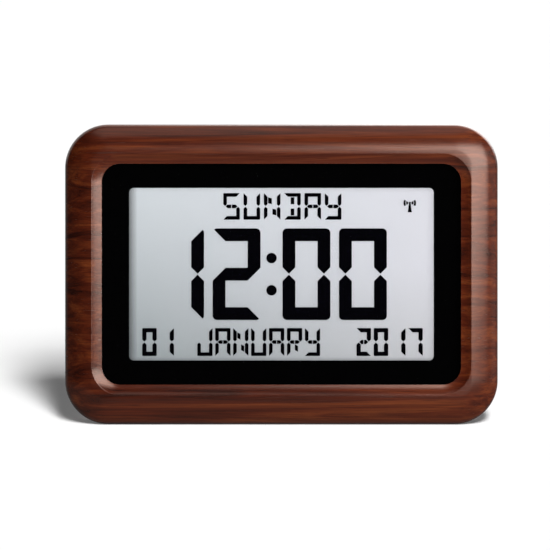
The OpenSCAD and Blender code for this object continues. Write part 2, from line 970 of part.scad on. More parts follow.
// The bay's box, grown by its wall
module bay_box(grow, d0, d1) {
    face_box(bay_x - bay_w / 2 - grow, bay_x + bay_w / 2 + grow,
        bay_v - bay_l / 2 - grow, bay_v + bay_l / 2 + grow, d0, d1);
}

// The hollow that takes the folded leg, grown by its wall, and open at the housing's lower edge
module leg_recess(grow, low) {
    face_box(-recess_w / 2 - grow, recess_w / 2 + grow, low, recess_top + grow,
             recess_d - grow, housing_d + over);
}

module keyhole() {
    circle(keyhole_r);
    translate([0, keyhole_rise])
        circle(keyhole_slot / 2);
    translate([-keyhole_slot / 2, 0])
        square([keyhole_slot, keyhole_rise]);
}

// The hinge pin's axis, as a cylinder across the clock
module along_hinge(r, length) {
    translate([-length / 2, hinge_v, -hinge_d])
        rotate([0, 90, 0])
            cylinder(h = length, r = r);
}

module rear_cover() {
    inside_w = housing_w - 2 * wall;
    inside_h = housing_h - 2 * wall;
    color("darkslategray")
        placed()
            difference() {
                union() {
                    difference() {
                        union() {
                            slab(rim_d, frame_d)
                                rounded_rect(rim_w - 2 * drop_gap, rim_h - 2 * drop_gap, rim_r - drop_gap);
                            housing_block();
                        }
                        slab(rim_d - over, housing_d - wall)
                            translate([0, housing_v])
                                rounded_rect(inside_w, inside_h, housing_r - wall);
                    }
                    intersection() {
                        housing_block();
                        union() {
                            leg_recess(recess_wall, housing_low);
                            face_box(door_x - tongue - 2 * slide_gap - bay_wall, door_end,
                                bay_v - door_h / 2 - tongue - bay_wall - slide_gap,
                                bay_v + door_h / 2 + tongue + bay_wall + slide_gap, seat_d, housing_d);
                        }
                    }
                    bay_box(bay_wall, bay_floor_d - bay_t, housing_d - door_t - tongue_t);
                }
                leg_recess(0, housing_low - over);
                bay_box(0, bay_floor_d, housing_d);
                door_shape(slide_gap, over);
                along_hinge(pin_r + pin_fit, recess_w + 2 * pin_hold);
                slab(rim_d - over, frame_d + over)
                    translate([0, keyhole_v])
                        keyhole();
                for (at = case_spots)
                    case_hole(at);
                for (x = button_x)
                    slab(housing_d - wall - over, housing_d + over)
                        translate([x, button_v])
                            stadium(button_l + 2 * slide_gap, button_h + 2 * slide_gap);
                post([reset_x, button_v], reset_r + slide_gap, housing_d - wall - over, housing_d + over);
                for (x = cell_spots)
                    tag_slot(x);
            }
}

// A countersunk hole through the rim
module case_hole(at) {
    post(at, case_screw[0] + drop_gap, rim_d - over, frame_d + over);
    translate([at[0], at[1], -frame_d])
        cylinder(h = case_screw[2] + near_gap, r1 = case_screw[1] + near_gap, r2 = case_screw[0] + near_gap);
}

module case_screws() {
    color("silver")
        placed()
            for (at = case_spots)
                difference() {
                    union() {
                        post(at, case_screw[0], frame_d - case_screw_l, frame_d - case_screw[2]);
                        translate([at[0], at[1], -frame_d])
                            cylinder(h = case_screw[2], r1 = case_screw[1], r2 = case_screw[0]);
                    }
                    slab(frame_d - recess_depth, frame_d + over)
                        translate(at)
                            cross_recess(case_screw[1]);
                }
}

// The sliding door ends in the housing's own rounded edge, and has grooves for the thumb
module battery_door() {
    groove_pitch = 3;
    groove_w = 1.2;
    groove_h = 20;
    groove_d = 0.5;
    groove_x = door_end - 12;
    color("darkslategray")
        placed()
            difference() {
                intersection() {
                    door_shape(0, 0);
                    housing_block();
                }
                for (i = [-2 : 2])
                    translate([groove_x + i * groove_pitch, 0, 0])
                        face_box(0, groove_w, bay_v - groove_h / 2, bay_v + groove_h / 2,
                            housing_d - groove_d, housing_d + over);
            }
}

// A battery cell along the bay, its tip up or down
module battery_cell(x, up) {
    tip_l = 1.3;
    tip_r = 2.75;
    tip_v = bay_v + up * (bay_l / 2 - contact_t);
    color("goldenrod")
        placed()
            translate([x, tip_v, -cell_axis_d])
                rotate([up * 90, 0, 0]) {
                    cylinder(h = tip_l, r = tip_r);
                    translate([0, 0, tip_l])
                        cylinder(h = cell_l - tip_l, r = cell_dia / 2);
                }
}

module battery_cell_left() {
    battery_cell(cell_spots[0], 1);
}

module battery_cell_right() {
    battery_cell(cell_spots[1], -1);
}

// The springs behind the cells' flat ends, as cones
module battery_springs() {
    wide_r = 4.5;
    narrow_r = 2.5;
    wire = 0.6;
    color("silver")
        placed()
            for (i = [0, 1]) {
                end = 2 * i - 1;
                translate([cell_spots[i], bay_v + end * (bay_l / 2 - contact_t), -cell_axis_d])
                    rotate([end * 90, 0, 0])
                        difference() {
                            cylinder(h = spring_l, r1 = wide_r, r2 = narrow_r);
                            cylinder(h = spring_l, r1 = wide_r - wire, r2 = narrow_r - wire);
                        }
            }
}

// Nickel plates at both ends of the bay: one that joins the cells, and two with tags for the leads
module battery_contacts() {
    margin = 1;
    plate_h = cell_dia - 2 * margin;
    plate_d = cell_axis_d - plate_h / 2;
    low_v = bay_v - bay_l / 2;
    high_v = bay_v + bay_l / 2;
    color("silver")
        placed() {
            face_box(bay_x - bay_w / 2 + margin, bay_x + bay_w / 2 - margin, low_v, low_v + contact_t,
                plate_d, plate_d + plate_h);
            for (x = cell_spots) {
                face_box(x - plate_h / 2, x + plate_h / 2, high_v - contact_t, high_v,
                         plate_d, plate_d + plate_h);
                face_box(x - tag_w / 2, x + tag_w / 2, high_v - contact_t, high_v + bay_wall + tag_out,
                    tag_d, tag_d + contact_t);
            }
        }
}

// The slot in the bay's wall for a solder tag
module tag_slot(x) {
    high_v = bay_v + bay_l / 2;
    face_box(x - tag_w / 2 - near_gap, x + tag_w / 2 + near_gap, high_v - over, high_v + bay_wall + over,
        tag_d - near_gap, tag_d + contact_t + near_gap);
}

module battery_lead(x) {
    post([x, bay_v + bay_l / 2 + bay_wall + tag_out / 2], battery_lead_r, board_back, tag_d);
}

module battery_lead_red() {
    color("firebrick")
        placed()
            battery_lead(cell_spots[0]);
}

module battery_lead_black() {
    color("black")
        placed()
            battery_lead(cell_spots[1]);
}

// Turns the leg from folded, flat in its recess, to open
module at_hinge() {
    placed()
        translate([0, hinge_v, -hinge_d])
            rotate([leg_open, 0, 0])
                children();
}

// The leg hangs from its knuckle; a notch leaves two feet, and its end lies flat on the pads
module easel_leg() {
    notch_w = leg_w - 2 * foot_w;
    notch_h = 10;
    color("darkslategray")
        difference() {
            at_hinge()
                difference() {
                    union() {
                        translate([-leg_w / 2, -leg_reach, leg_front - leg_t])
                            cube([leg_w, leg_reach + heel, leg_t]);
                        translate([-leg_w / 2, 0, 0])
                            rotate([0, 90, 0])
                                cylinder(h = leg_w, r = knuckle_r);
                    }
                    translate([-leg_w / 2 - over, 0, 0])
                        rotate([0, 90, 0])
                            cylinder(h = leg_w + 2 * over, r = pin_r + running_gap);
                    translate([-notch_w / 2, -leg_reach - over, -leg_t - over])
                        cube([notch_w, notch_h + leg_t + over, 2 * leg_t + 2 * over]);
                }
            below(pad_t);
        }
}

module leg_hinge_pin() {
    color("silver")
        placed()
            along_hinge(pin_r, recess_w + 2 * (pin_hold - near_gap));
}

// Rubber pads under the leg's two feet
module leg_pads() {
    pad_w = foot_w - 2 * pad_inset;
    pad_l = leg_t - drop_gap;
    middle = leg_t / 2 - leg_front;
    down = (hinge_z + middle * sin(leg_out) - pad_t) / cos(leg_out);
    pad_y = hinge_y + down * sin(leg_out) + middle * cos(leg_out);
    color("black")
        for (s = [-1, 1])
            translate([s * (leg_w - foot_w) / 2, pad_y, 0])
                linear_extrude(height = pad_t)
                    rounded_rect(pad_w, pad_l, pad_r);
}

// A setting button: its cap in the cover, a flange behind the wall, and a stem to the switch
module setting_button(i) {
    color("dimgray")
        placed() {
            slab(flange_d, housing_d + button_out)
                translate([button_x[i], button_v])
                    stadium(button_l, button_h);
            slab(flange_d - button_flange, flange_d)
                translate([button_x[i], button_v])
                    stadium(button_l + 2 * flange_out, button_h + 2 * flange_out);
            post([button_x[i], button_v], stem_r, stem_end, flange_d - button_flange);
        }
}

module mode_button() {
    setting_button(0);
}

module wave_button() {
    setting_button(1);
}

module set_button() {
    setting_button(2);
}

module up_button() {
    setting_button(3);
}

module down_button() {
    setting_button(4);
}

module reset_button() {
    color("dimgray")
        placed() {
            post([reset_x, button_v], reset_r, stem_end, housing_d - reset_sunk);
            post([reset_x, button_v], reset_r + flange_out, flange_d - button_flange, flange_d);
        }
}

front_frame();
window_tape();
display_window();
window_mask();
display_gasket();
front_polariser();
front_glass();
cell_seal();
time_bars();
calendar_bars();
signal_icon();
rear_glass();
reflector_film();
display_tray();
tray_screws();
zebra_strip_top();
zebra_strip_bottom();
main_board();
board_screws();
clock_chip();
quartz_crystal();
button_switches();
receiver_board();
receiver_chip();
receiver_pins();
ferrite_rod();
antenna_coil();
antenna_holder();
antenna_leads();
rear_cover();
case_screws();
battery_door();
battery_cell_left();
battery_cell_right();
battery_springs();
battery_contacts();
battery_lead_red();
battery_lead_black();
easel_leg();
leg_hinge_pin();
leg_pads();
mode_button();
wave_button();
set_button();
up_button();
down_button();
reset_button();
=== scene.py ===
import json
from math import asin, cos, pi, radians, sin, tan

import bmesh
import bpy
from bpy.props import FloatProperty, FloatVectorProperty, IntProperty, PointerProperty
from mathutils import Matrix, Vector


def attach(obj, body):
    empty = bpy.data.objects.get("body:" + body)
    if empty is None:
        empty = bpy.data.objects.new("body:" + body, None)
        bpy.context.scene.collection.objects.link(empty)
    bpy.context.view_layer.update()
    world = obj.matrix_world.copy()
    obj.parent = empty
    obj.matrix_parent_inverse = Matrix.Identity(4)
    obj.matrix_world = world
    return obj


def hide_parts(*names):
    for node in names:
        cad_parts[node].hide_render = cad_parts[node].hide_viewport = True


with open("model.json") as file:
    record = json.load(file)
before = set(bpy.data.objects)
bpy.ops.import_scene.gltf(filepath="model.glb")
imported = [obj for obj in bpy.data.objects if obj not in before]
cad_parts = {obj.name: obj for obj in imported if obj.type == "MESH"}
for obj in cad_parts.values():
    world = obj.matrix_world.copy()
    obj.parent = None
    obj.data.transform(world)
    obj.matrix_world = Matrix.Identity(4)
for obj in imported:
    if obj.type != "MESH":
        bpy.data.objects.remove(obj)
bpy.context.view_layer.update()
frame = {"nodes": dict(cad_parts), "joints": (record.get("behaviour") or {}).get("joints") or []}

bl_info = {
    "name": "Radio-controlled clock",
    "version": (1, 0, 0),
    "blender": (4, 5, 0),
    "location": "3D View > Sidebar > Clock",
    "description": "Dresses the packed clock: lacquered wood, window, display, moulded back and stage",
    "category": "Object",
}

NODES = frame["nodes"]
MM = 0.001
BODY = "clock_body"
WHITE = (1, 1, 1)
BLACK = (0, 0, 0)

# Angles between faces: taken as one flat, shaded as one curve, and sharp on screws and wire
FLAT = radians(1)
SMOOTH = radians(50)
SHARP = radians(35)

# Corners of a CAD mesh that are nearer than this are one
MERGE = 1e-6

# Air between a clear sheet and what lies behind it
SHEET_GAP = 0.02 * MM

# Refraction of the window, and of the display's glass, which is bonded and hardly reflects
WINDOW_INDEX = 1.49
GLASS_INDEX = 1.2

# Room in the frame round the window and the rear cover, and round the display tray
FIT = 0.4 * MM
TRAY_ROOM = 1 * MM

# How much smaller than the frame's own the corners of its pocket and of its rear rebate are
POCKET_CORNER = 8 * MM
RIM_CORNER = 4 * MM

# Faces along the frame's rounded edge, its face, its ridge and its hollow
EDGE_STEPS = 10
FACE_STEPS = 12
RIDGE_STEPS = 4
HOLLOW_STEPS = 12

# How far the black print covers the display's film at the side and at the foot
SIDE_COVER = 4 * MM
FOOT_COVER = 2.5 * MM

# Screws: node, piece, and in millimetres the head's radius on top, below, its height, the shank's radius
SCREWS = (
    ("case_screws", "cover_screws", (2.9, 1.25, 1.7, 1.25)),
    ("tray_screws", "pan_screws_tray", (2.0, 2.5, 1.5, 1.25)),
    ("board_screws", "pan_screws_board", (1.5, 1.9, 1.3, 0.95)),
)

# Lamps: name, degrees to the right of the face's direction and above it, distance, width and height
LAMPS = (
    ("key", 33, 17, 1.0, (0.97, 0.6)),
    ("side", 82, 10, 1.0, (0.5, 0.8)),
    ("top", 10, 76, 1.2, (1.2, 0.7)),
    ("back", 150, 38, 1.3, (1.2, 0.9)),
)

# Lamps that light the floor: degrees to the right of the front, and above the floor
FLOOR_LAMPS = ((11, 36), (14, 44), (19, 54))

# Directions of the leaning face: across it, up it, and out of it towards the viewer
ACROSS = Vector((1, 0, 0))
OUT = Vector(next(joint["axis"] for joint in frame["joints"] if joint["name"] == "mode_press")).normalized()
UP = OUT.cross(ACROSS)
LEAN = asin(OUT.z)
TURN = Matrix((ACROSS, UP, OUT)).to_4x4()


def span(node, view):
    """Lowest and highest place of a CAD node, seen through a matrix."""
    spots = [view @ vertex.co for vertex in NODES[node].data.vertices]
    low = Vector([min(spot[i] for spot in spots) for i in range(3)])
    high = Vector([max(spot[i] for spot in spots) for i in range(3)])
    return low, high


def face_view():
    """Matrix into face coordinates: the middle of the window, on the frame's front ridge."""
    low, high = span("display_window", TURN)
    ridge = span("front_frame", TURN)[1].z
    return Matrix.Translation((-(low.x + high.x) / 2, -(low.y + high.y) / 2, -ridge)) @ TURN


FACE = face_view()
WORLD = FACE.inverted()


def on_face(node):
    """Lowest and highest place of a CAD node in face coordinates: across, up, and out of the face."""
    return span(node, FACE)


def centres(node, apart):
    """Middles of the separate solids of a node, on the face."""
    groups = []
    for vertex in NODES[node].data.vertices:
        spot = FACE @ vertex.co
        for group in groups:
            if abs(spot.x - group[0].x) < apart and abs(spot.y - group[0].y) < apart:
                group.append(spot)
                break
        else:
            groups.append([spot])
    found = []
    for group in groups:
        across = [spot.x for spot in group]
        up = [spot.y for spot in group]
        found.append(((min(across) + max(across)) / 2, (min(up) + max(up)) / 2))
    return found


# Settings

def length(name, description, default):
    return FloatProperty(
        name=name, description=description, default=default, min=0, unit="LENGTH", precision=5)


def angle(name, description, default):
    return FloatProperty(name=name, description=description, default=radians(default), subtype="ANGLE")


def share(name, description, default):
    return FloatProperty(name=name, description=description, default=default, min=0, max=1, subtype="FACTOR")


def level(name, description, default):
    return FloatProperty(name=name, description=description, default=default, min=0)


def colour(name, description, default):
    return FloatVectorProperty(
        name=name, description=description, default=default, min=0, max=1, subtype="COLOR")


class FrameSizes(bpy.types.PropertyGroup):
    """Moulding of the wooden frame."""

    corner: length("Corner radius", "Radius of the frame's outer corners", 26 * MM)
    side_border: length("Side border", "Width of wood beside the window", 22.15 * MM)
    end_border: length("End border", "Width of wood above and below the window", 23.65 * MM)
    hollow: length("Hollow width", "Width of the hollow moulding round the window", 6 * MM)
    window_corner: length("Window corner", "Radius of the window's corners", 11 * MM)
    edge: length("Edge radius", "Radius where the rounded front runs into the side", 6 * MM)
    ridge: length("Ridge radius", "Rounding of the ridge between face and hollow", 0.8 * MM)
    back_edge: length("Back edge", "Rounding of the frame's back edge", 0.6 * MM)
    rim: length("Rim depth", "Depth of the rebate that takes the rear cover", 2.5 * MM)
    face_start: angle("Face start", "Slope of the rounded face at the ridge", 5)
    face_end: angle("Face end", "Slope of the rounded face at its outer end", 38)
    hollow_start: angle("Hollow start", "Slope of the hollow at the window", 10)
    hollow_end: angle("Hollow end", "Slope of the hollow at the ridge", 34)
    steps: IntProperty(name="Corner steps", description="Faces along a rounded corner", default=20, min=4)


class WoodLook(bpy.types.PropertyGroup):
    """Colours and gloss of the lacquered wood."""

    dark: colour("Dark wood", "Colour of the dark streaks", (0.0245, 0.0039, 0.0023))
    middle: colour("Middle wood", "Colour of most of the wood", (0.113, 0.0180, 0.0058))
    light: colour("Light wood", "Colour of the bright streaks", (0.232, 0.052, 0.0136))
    gloss: share("Lacquer roughness", "Roughness of the lacquer", 0.23)
    tint: colour("Lacquer tint", "Warm tint of the lacquer's gloss", (1.0, 0.70, 0.59))
    index: level("Lacquer index", "Refraction of the lacquer", 1.63)


class DisplayLook(bpy.types.PropertyGroup):
    """Colours of the display behind the window, with painted shade in its pale ground."""

    # The four ground colours hold painted shade: darker towards the foot, most at the lower left. The upper
    # left is painted paler than the upper right to make up for the key lamp's weaker light there.
    left: colour("Upper left", "Pale ground at the upper left", (0.745, 0.800, 0.840))
    right: colour("Upper right", "Pale ground at the upper right", (0.695, 0.695, 0.755))
    lower_left_painted_shade: colour("Lower left", "Pale ground at the lower left", (0.350, 0.396, 0.414))
    lower_right_painted_shade: colour("Lower right", "Pale ground at the lower right", (0.560, 0.565, 0.595))
    # Width of the painted shadow along the left edge; half of it is used along the foot.
    edge: length("Edge shade", "Width of the shade along the left edge", 5 * MM)
    ink: colour("Ink", "Colour of the dark bars", (0.0010, 0.0009, 0.0020))
    print_black: colour("Surround", "Black print round the display", (0.0005, 0.0005, 0.0006))


class BackLook(bpy.types.PropertyGroup):
    """Colours of the moulded pieces at the back."""

    cover: colour("Cover", "Black moulded rear cover, door and leg", (0.018, 0.018, 0.020))
    button: colour("Buttons", "Grey setting buttons", (0.12, 0.12, 0.13))
    rubber: colour("Rubber", "Rubber pads under the leg", (0.012, 0.012, 0.012))
    cell: colour("Cell skin", "Main colour of the battery cells", (0.030, 0.034, 0.042))
    cell_band: colour("Cell band", "Band at the tip of the battery cells", (0.55, 0.36, 0.12))


class StageLook(bpy.types.PropertyGroup):
    """Camera, lamps and floor."""

    distance: length("Camera distance", "From the camera to the face", 4.5)
    field: length("Field width", "Width that the picture takes in at the face", 329.9 * MM)
    across: length("Camera across", "How far the camera stands to the left of the middle", 3.85 * MM)
    below: length("Camera below", "How far the camera stands below the middle", 0.48 * MM)
    key: level("Key lamp", "Radiance of the large lamp at the right", 7.25)
    side: level("Side lamp", "Radiance of the weak lamp at the far right", 0.62)
    top: level("Top lamp", "Radiance of the lamp above the clock", 0.83)
    back: level("Back lamp", "Radiance of the lamp behind the clock", 3.45)
    sun: level("Floor lamps", "Strength of each lamp that lights the floor", 1.69)
    sun_width: angle("Floor lamp width", "How wide each floor lamp looks from the floor", 12)
    room: level("Room light", "Strength of the dim room", 0.0055)
    floor: share("Floor", "Paleness of the floor", 0.8)
    lift: share("Floor lift", "Light that brings the floor up to white", 0.125)
    bounce: share("Floor bounce", "Paleness of the floor for light that it throws on the clock", 0.17)


def settings(group):
    return getattr(bpy.context.scene, "clock_" + group)


# Meshes in face coordinates

def ring(half_w, half_h, radius, depth, steps):
    """Points round a rounded rectangle at a depth behind the ridge."""
    points = []
    for corner, (side, end) in enumerate(((1, 1), (-1, 1), (-1, -1), (1, -1))):
        for i in range(steps + 1):
            turn = (corner + i / steps) * pi / 2
            across = side * (half_w - radius) + radius * cos(turn)
            up = end * (half_h - radius) + radius * sin(turn)
            points.append((across, up, -depth))
    return points


def loft(rings, closed=False):
    """Joins rings of equally many points; closes both ends, or joins the last ring to the first."""
    shape = bmesh.new()
    rows = [[shape.verts.new(point) for point in points] for points in rings]
    pairs = list(zip(rows, rows[1:]))
    if closed:
        pairs.append((rows[-1], rows[0]))
    else:
        shape.faces.new(reversed(rows[0]))
        shape.faces.new(rows[-1])
    for near, far in pairs:
        for i in range(len(near)):
            j = (i + 1) % len(near)
            shape.faces.new((near[i], near[j], far[j], far[i]))
    return shape


def arc(start, end, count):
    """Equally spaced angles from start to end, both included."""
    return [start + (end - start) * i / count for i in range(count + 1)]


def turned(profile, centre, along, steps=48):
    """A body turned about an axis up the face: pairs of distance along it and radius."""
    rings = []
    for distance, radius in profile:
        middle = centre + along * distance
        rings.append([
            middle + Vector((radius * cos(turn), 0, radius * sin(turn)))
            for turn in (2 * pi * i / steps for i in range(steps))
        ])
    return loft(rings)


def planed(shape):
    """Cuts a shape flat where it rests on the table, and closes the cut."""
    table = FACE @ Vector((0, 0, 0))
    upright = TURN.to_3x3() @ Vector((0, 0, 1))
    geometry = shape.verts[:] + shape.edges[:] + shape.faces[:]
    bmesh.ops.bisect_plane(shape, geom=geometry, plane_co=table, plane_no=upright, clear_inner=True)
    open_edges = [edge for edge in shape.edges if edge.is_boundary]
    bmesh.ops.holes_fill(shape, edges=open_edges, sides=0)


def piece(name, shape, material, nodes, body=BODY, view=WORLD):
    """Turns a mesh in face coordinates into a finished piece that stands for CAD nodes."""
    bmesh.ops.recalc_face_normals(shape, faces=shape.faces)
    shape.transform(view)
    mesh = bpy.data.meshes.new(name)
    shape.to_mesh(mesh)
    shape.free()
    mesh.shade_smooth()
    even_normals(mesh)
    mesh.materials.append(material)
    return finished(name, mesh, nodes, body)


def even_normals(mesh):
    """Lets the larger faces lead where faces meet smoothly, so that flats stay flat beside rounded edges."""
    around = [[] for _ in mesh.vertices]
    for face in mesh.polygons:
        for vertex in face.vertices:
            around[vertex].append((face.normal.copy(), face.area))
    normals = []
    for face in mesh.polygons:
        for vertex in face.vertices:
            lead = Vector()
            for normal, area in around[vertex]:
                if normal.dot(face.normal) > cos(SMOOTH):
                    lead += normal * area
            normals.append(lead.normalized())
    mesh.normals_split_custom_set(normals)


def finished(name, mesh, nodes, body=BODY):
    made = bpy.data.objects.new(name, mesh)
    bpy.context.scene.collection.objects.link(made)
    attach(made, body)
    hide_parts(*nodes)
    return made


def moulded(name, node, material, body=BODY, ease=0.25 * MM):
    """A copy of a CAD node with its long edges rounded, as a piece that stands for it."""
    shape = bmesh.new()
    shape.from_mesh(NODES[node].data)
    bmesh.ops.remove_doubles(shape, verts=shape.verts, dist=MERGE)
    bmesh.ops.dissolve_limit(shape, angle_limit=FLAT, verts=shape.verts, edges=shape.edges)
    least = 6 * ease
    edges = [
        edge for edge in shape.edges
        if edge.is_manifold and edge.calc_face_angle() > SMOOTH and edge.calc_length() > least
    ]
    bmesh.ops.bevel(
        shape, geom=edges, offset=ease, segments=2, profile=0.5, affect="EDGES", clamp_overlap=True)
    piece(name, shape, material, [node], body, Matrix())


def dress(material, *nodes):
    """Gives CAD nodes their material."""
    for node in nodes:
        materials = NODES[node].data.materials
        materials.clear()
        materials.append(material)


def shadowless(*nodes):
    """Keeps CAD nodes from throwing a shadow on the display's ground."""
    for node in nodes:
        NODES[node].visible_shadow = False


# Nodes

def feed(tree, socket, value):
    """Links a socket into another, or sets its plain value."""
    if isinstance(value, bpy.types.NodeSocket):
        tree.links.new(value, socket)
    else:
        socket.default_value = value


def step(tree, kind, links=None, **values):
    """Adds a node with its values, and links its inputs by name or number, or sets them."""
    made = tree.nodes.new(kind)
    for key, value in values.items():
        setattr(made, key, value)
    for key, value in (links or {}).items():
        feed(tree, made.inputs[key], value)
    return made


def times(tree, value, factor):
    return step(tree, "ShaderNodeMath", {0: value, 1: factor}, operation="MULTIPLY").outputs["Value"]


def larger(tree, first, second):
    return step(tree, "ShaderNodeMath", {0: first, 1: second}, operation="MAXIMUM").outputs["Value"]


def triple(tree, x, y, z):
    return step(tree, "ShaderNodeCombineXYZ", {0: x, 1: y, 2: z}).outputs["Vector"]


# Materials

def new_material(name):
    made = bpy.data.materials.new(name)
    made.use_nodes = True
    tree = made.node_tree
    return made, tree, tree.nodes["Principled BSDF"]


def shown(tree, shader):
    """Makes a shader the one that a material shows."""
    tree.links.new(shader.outputs["Shader"], tree.nodes["Material Output"].inputs["Surface"])


def paint(tree, shader, tone, roughness):
    """Gives a shader its colour and roughness."""
    feed(tree, shader.inputs["Base Color"], rgba(tone))
    feed(tree, shader.inputs["Roughness"], roughness)


def rgba(value):
    if isinstance(value, bpy.types.NodeSocket):
        return value
    return (*value, 1)


def shade(tone, amount):
    """A colour made darker or paler."""
    return [amount * part for part in tone]


def places(tree, stretch):
    """Object coordinates turned upright with the face, and stretched."""
    coords = step(tree, "ShaderNodeTexCoord")
    upright = step(tree, "ShaderNodeMapping", {"Vector": coords.outputs["Object"], "Rotation": (LEAN, 0, 0)})
    scaled = step(tree, "ShaderNodeVectorMath", {
        0: upright.outputs["Vector"], 1: stretch}, operation="MULTIPLY")
    return scaled.outputs["Vector"]


def noise(tree, stretch, detail=2.0, roughness=0.5, distortion=0.0):
    made = step(tree, "ShaderNodeTexNoise", {
        "Vector": places(tree, stretch), "Scale": 1, "Detail": detail, "Roughness": roughness,
        "Distortion": distortion})
    return made.outputs["Fac"]


def spread(tree, value, low, high, from_low=0.3, from_high=0.7):
    """Spreads a value over a new range."""
    made = step(tree, "ShaderNodeMapRange", {
        "Value": value, "From Min": from_low, "From Max": from_high, "To Min": low, "To Max": high})
    return made.outputs["Result"]


def blend(tree, amount, first, second):
    """Mixes two colours."""
    made = step(tree, "ShaderNodeMix", {
        "Factor": amount, "A": rgba(first), "B": rgba(second)}, data_type="RGBA")
    return made.outputs["Result"]


def ramp(tree, value, stops, interpolation="LINEAR"):
    """Colours along a value, from pairs of place and colour."""
    made = step(tree, "ShaderNodeValToRGB", {"Fac": value})
    made.color_ramp.interpolation = interpolation
    elements = made.color_ramp.elements
    for end in (0, -1):
        place, tone = stops[end]
        elements[end].position = place
        elements[end].color = rgba(tone)
    for place, tone in stops[1:-1]:
        elements.new(place).color = rgba(tone)
    return made.outputs["Color"]


def bump(tree, shader, height, strength, distance):
    made = step(tree, "ShaderNodeBump", {"Strength": strength, "Distance": distance, "Height": height})
    feed(tree, shader.inputs["Normal"], made.outputs["Normal"])


def seen(tree):
    """One for what the camera sees, straight or through clear pieces, and nothing for the rest."""
    path = step(tree, "ShaderNodeLightPath")
    return larger(tree, path.outputs["Is Camera Ray"], path.outputs["Is Transmission Ray"])


def lacquered_wood():
    """Dark red-brown wood with its grain across the clock, under satin lacquer."""
    look = settings("wood")
    made, tree, shader = new_material("lacquered_wood")
    bands = noise(tree, (5, 90, 150), detail=5, roughness=0.62, distortion=0.9)
    fibres = noise(tree, (18, 500, 900), detail=3, roughness=0.6)
    pores = noise(tree, (60, 1300, 2200), detail=1)
    streaks = ramp(tree, bands, ((0.32, look.dark), (0.50, look.middle), (0.69, look.light)))
    fine = blend(tree, spread(tree, fibres, 0, 0.55), streaks, look.dark)
    pored = blend(tree, spread(tree, pores, 0, 0.5, from_low=0.60, from_high=0.72), fine, look.dark)
    paint(tree, shader, pored, spread(tree, fibres, look.gloss - 0.03, look.gloss + 0.05))
    shader.inputs["Specular Tint"].default_value = rgba(look.tint)
    shader.inputs["IOR"].default_value = look.index
    bump(tree, shader, fibres, strength=0.06, distance=0.1 * MM)
    return made


def moulded_plastic(name, tone, roughness):
    """Finely sparked plastic, a little uneven in colour and gloss."""
    made, tree, shader = new_material(name)
    clouds = noise(tree, (60, 60, 60), detail=3)
    grain = noise(tree, (2600, 2600, 2600), detail=1)
    uneven = blend(tree, clouds, shade(tone, 0.82), shade(tone, 1.15))
    paint(tree, shader, uneven, spread(tree, clouds, roughness - 0.05, roughness + 0.05))
    bump(tree, shader, grain, strength=0.12, distance=0.06 * MM)
    return made


def plated_metal(name, tone, roughness):
    """Plated metal with faint scratches."""
    made, tree, shader = new_material(name)
    scratches = noise(tree, (300, 2400, 500))
    scratched = blend(tree, scratches, shade(tone, 0.85), tone)
    paint(tree, shader, scratched, spread(tree, scratches, roughness - 0.08, roughness + 0.1))
    shader.inputs["Metallic"].default_value = 1
    bump(tree, shader, scratches, strength=0.05, distance=0.02 * MM)
    return made


def clear_sheet(name, index):
    """Clear plastic or glass that lets light through to what lies behind it."""
    made, tree, shader = new_material(name)
    smudges = noise(tree, (40, 40, 40), detail=3)
    paint(tree, shader, WHITE, spread(tree, smudges, 0, 0.01))
    shader.inputs["Transmission Weight"].default_value = 1
    shader.inputs["IOR"].default_value = index
    through = step(tree, "ShaderNodeBsdfTransparent", {"Color": rgba(WHITE)})
    path = step(tree, "ShaderNodeLightPath")
    lit = larger(tree, path.outputs["Is Shadow Ray"], path.outputs["Is Diffuse Ray"])
    shown(tree, step(tree, "ShaderNodeMixShader", {
        "Fac": lit, 1: shader.outputs["BSDF"], 2: through.outputs["BSDF"]}))
    return made


def printed_black(name, tone, roughness):
    """Dense black print or ink with a faint unevenness."""
    made, tree, shader = new_material(name)
    clouds = noise(tree, (90, 90, 90))
    uneven = blend(tree, clouds, shade(tone, 0.7), shade(tone, 1.3))
    paint(tree, shader, uneven, spread(tree, clouds, roughness - 0.04, roughness + 0.04))
    shader.inputs["Specular IOR Level"].default_value = 0
    return made


def display_ground():
    """Pale reflecting film with painted shade: darker towards its foot, most at the lower left, with a
    painted shadow along its left edge and its foot.
    """
    look = settings("display")
    low, high = on_face("reflector_film")
    foot = (TURN @ WORLD @ Vector((0, low.y, 0))).y
    tall = high.y - low.y
    side = low.x + SIDE_COVER
    shelf = foot + FOOT_COVER
    made, tree, shader = new_material("display_ground")
    axes = step(tree, "ShaderNodeSeparateXYZ", {"Vector": places(tree, (1, 1, 1))})
    across = axes.outputs["X"]
    up = axes.outputs["Z"]

    def rise(bottom, top):
        """Grows from nought to one between two shares of the film's height."""
        return spread(tree, up, 0, 1, foot + bottom * tall, foot + top * tall)

    # Painted shade: each side goes from its dark lower colour to its pale upper colour, and the left side
    # does so over more of the height.
    left_column_shaded = blend(tree, rise(0.05, 0.95), look.lower_left_painted_shade, look.left)
    right_column_shaded = blend(tree, rise(0.05, 0.55), look.lower_right_painted_shade, look.right)
    ground = blend(tree, spread(tree, across, 0, 1, low.x, high.x), left_column_shaded, right_column_shaded)
    grain = noise(tree, (900, 900, 900))
    speckled = blend(tree, spread(tree, grain, 0, 0.06), ground, WHITE)
    # Painted shadow of the black print's edge on the film: darker along the left edge and along the foot,
    # fading out over the edge width.
    side_shade = 0.75
    foot_shade = 0.35
    painted_side_shadow = spread(tree, across, side_shade, 0, side, side + look.edge)
    painted_foot_shadow = spread(tree, up, foot_shade, 0, shelf, shelf + look.edge / 2)
    side_shadowed = blend(tree, painted_side_shadow, speckled, BLACK)
    paint(tree, shader, blend(tree, painted_foot_shadow, side_shadowed, BLACK), 0.6)
    return made


